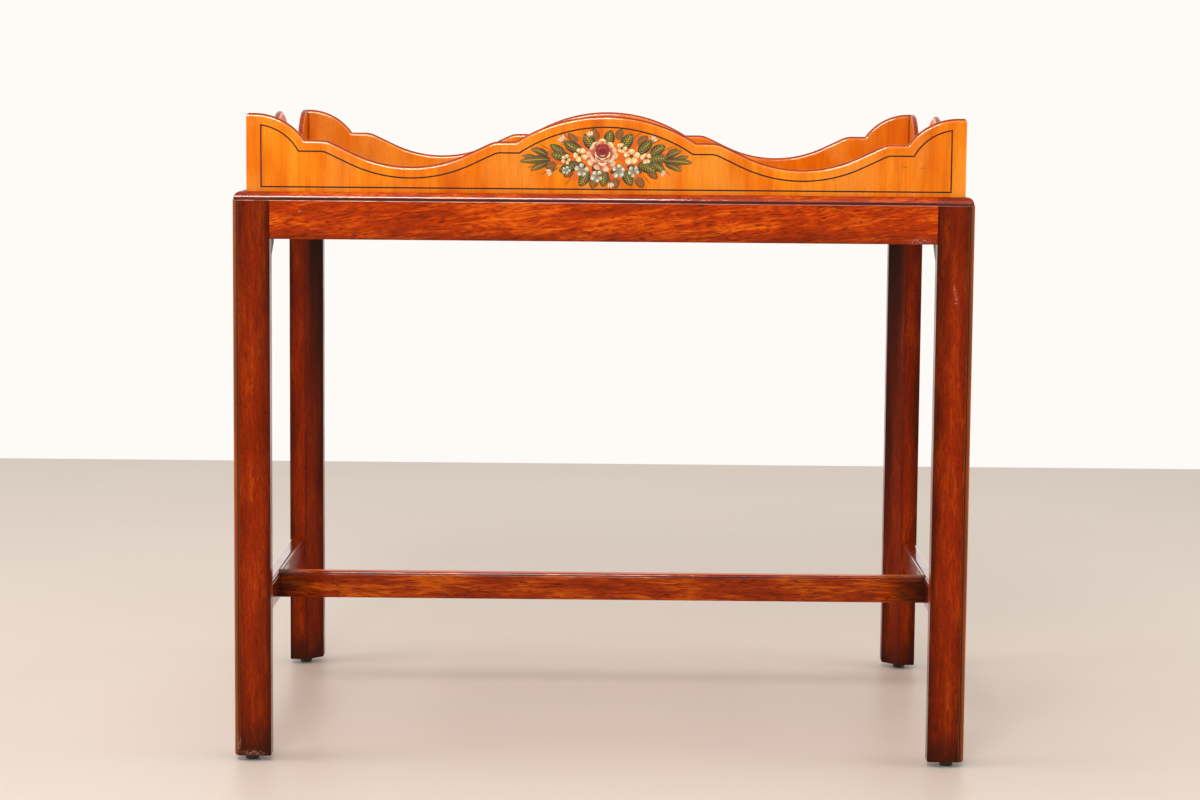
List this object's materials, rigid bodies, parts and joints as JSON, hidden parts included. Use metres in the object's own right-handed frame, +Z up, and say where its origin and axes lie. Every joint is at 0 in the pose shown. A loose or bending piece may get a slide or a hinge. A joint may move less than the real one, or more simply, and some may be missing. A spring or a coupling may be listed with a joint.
{
  "type": "tray top tea table",
  "caption": "Low table with a lift-off satinwood tray: a scalloped gallery with dark stringing stands in the moulded rim of a straight-legged mahogany stand.",
  "frame": {"origin": "on the floor under the middle of the stand", "axes": "+X along the long side, to the right seen from the front; +Y to the back; +Z up"},
  "size_m": [0.762, 0.559, 0.675],
  "materials": {
    "stand_mahogany": "red-brown mahogany, French polished",
    "tray_satinwood": "golden orange satinwood veneer on mahogany, polished",
    "string_ebony": "black stringing, polished flush",
    "glide_black": "black moulded glide",
    "nail_steel": "bare steel"
  },
  "bodies": {
    "stand": {"leg_front_left": "stand_mahogany", "leg_front_right": "stand_mahogany", "leg_back_left": "stand_mahogany", "leg_back_right": "stand_mahogany", "apron_front": "stand_mahogany", "apron_back": "stand_mahogany", "apron_left": "stand_mahogany", "apron_right": "stand_mahogany", "side_stretcher_left": "stand_mahogany", "side_stretcher_right": "stand_mahogany", "centre_stretcher": "stand_mahogany", "glide_front_left": "glide_black", "glide_front_right": "glide_black", "glide_back_left": "glide_black", "glide_back_right": "glide_black", "glide_nails": "nail_steel"},
    "tray": {"tray_floor": "tray_satinwood", "gallery_front": "tray_satinwood", "gallery_back": "tray_satinwood", "gallery_left": "tray_satinwood", "gallery_right": "tray_satinwood", "stringing_front": "string_ebony", "stringing_back": "string_ebony", "stringing_left": "string_ebony", "stringing_right": "string_ebony"}
  },
  "joints": [
    {"name": "tray_lift", "type": "slide", "parent": "stand", "child": "tray", "axis": [0, 0, 1], "range_m": [0, 0.12]}
  ]
}
